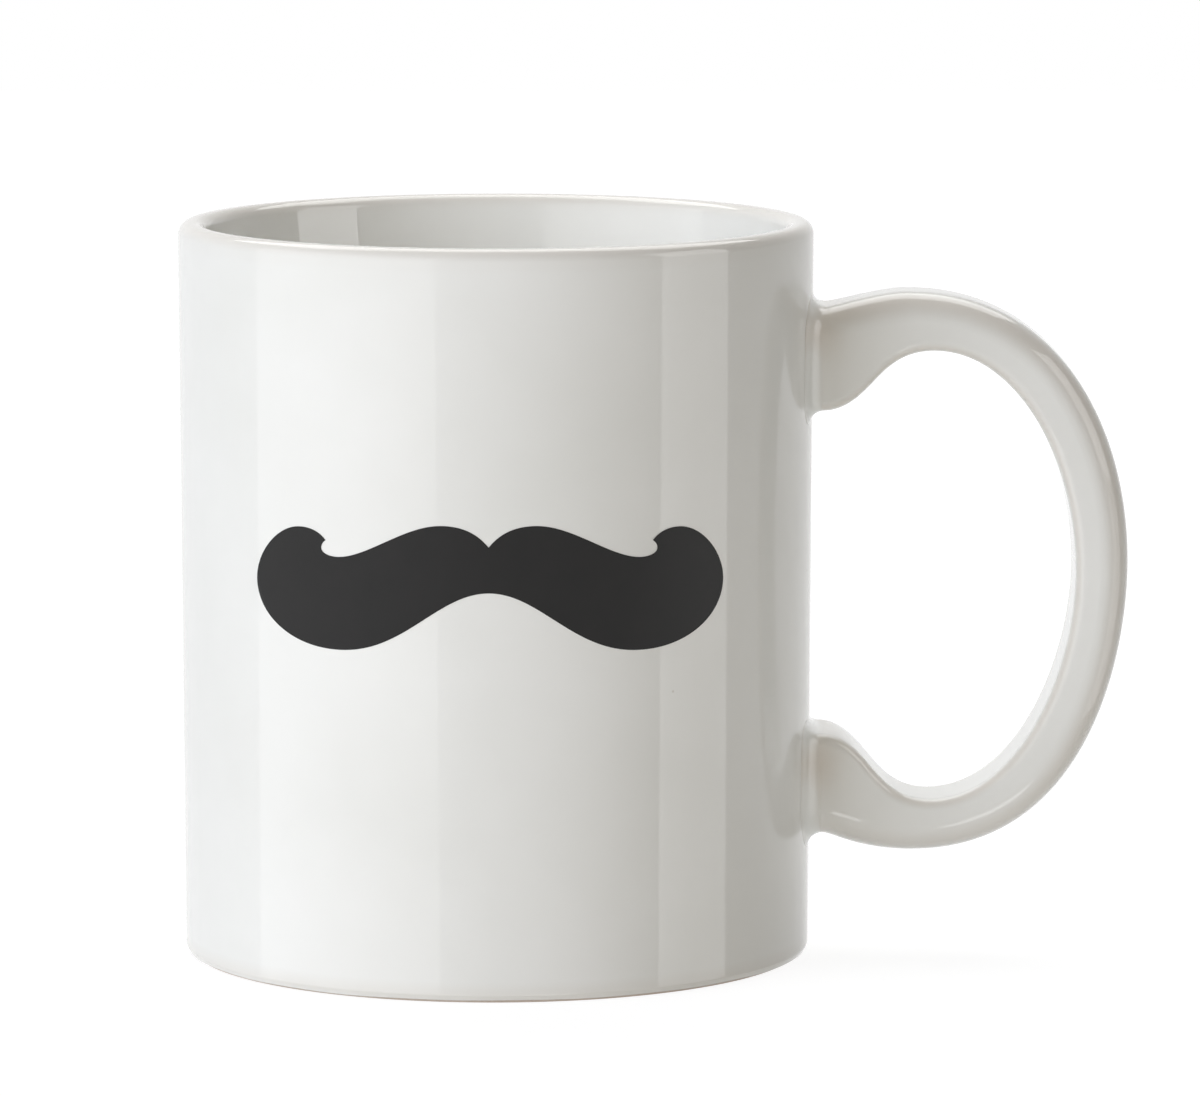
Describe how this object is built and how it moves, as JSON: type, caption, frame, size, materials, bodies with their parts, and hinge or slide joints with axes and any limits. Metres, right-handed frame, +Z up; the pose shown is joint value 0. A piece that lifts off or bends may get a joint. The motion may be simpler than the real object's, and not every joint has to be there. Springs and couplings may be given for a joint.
{
  "type": "coffee mug",
  "caption": "Straight-sided glazed stoneware mug with a bowed strap handle, a bare foot ring round a recessed base, and a moustache printed on the front.",
  "frame": {"origin": "middle of the mug's outline seen from above, handle included, on the table that it stands on; the cup's axis is 20.35 mm towards -X", "axes": "+Z up along the cup's axis, +X from the cup to the handle, -Y out of the printed front"},
  "size_m": [0.1226, 0.082, 0.095],
  "materials": {
    "fired_clay": "bare fired stoneware, matt and slightly gritty",
    "fired_slip": "fired slip, under the glaze",
    "white_glaze": "white gloss glaze",
    "dark_ink": "dark grey fired print, satin"
  },
  "bodies": {
    "root": {"clay_body": "fired_clay", "clay_handle": "fired_clay", "upper_slip_joint": "fired_slip", "lower_slip_joint": "fired_slip", "cup_glaze": "white_glaze", "handle_glaze": "white_glaze", "base_glaze": "white_glaze", "moustache_print": "dark_ink"}
  },
  "joints": []
}
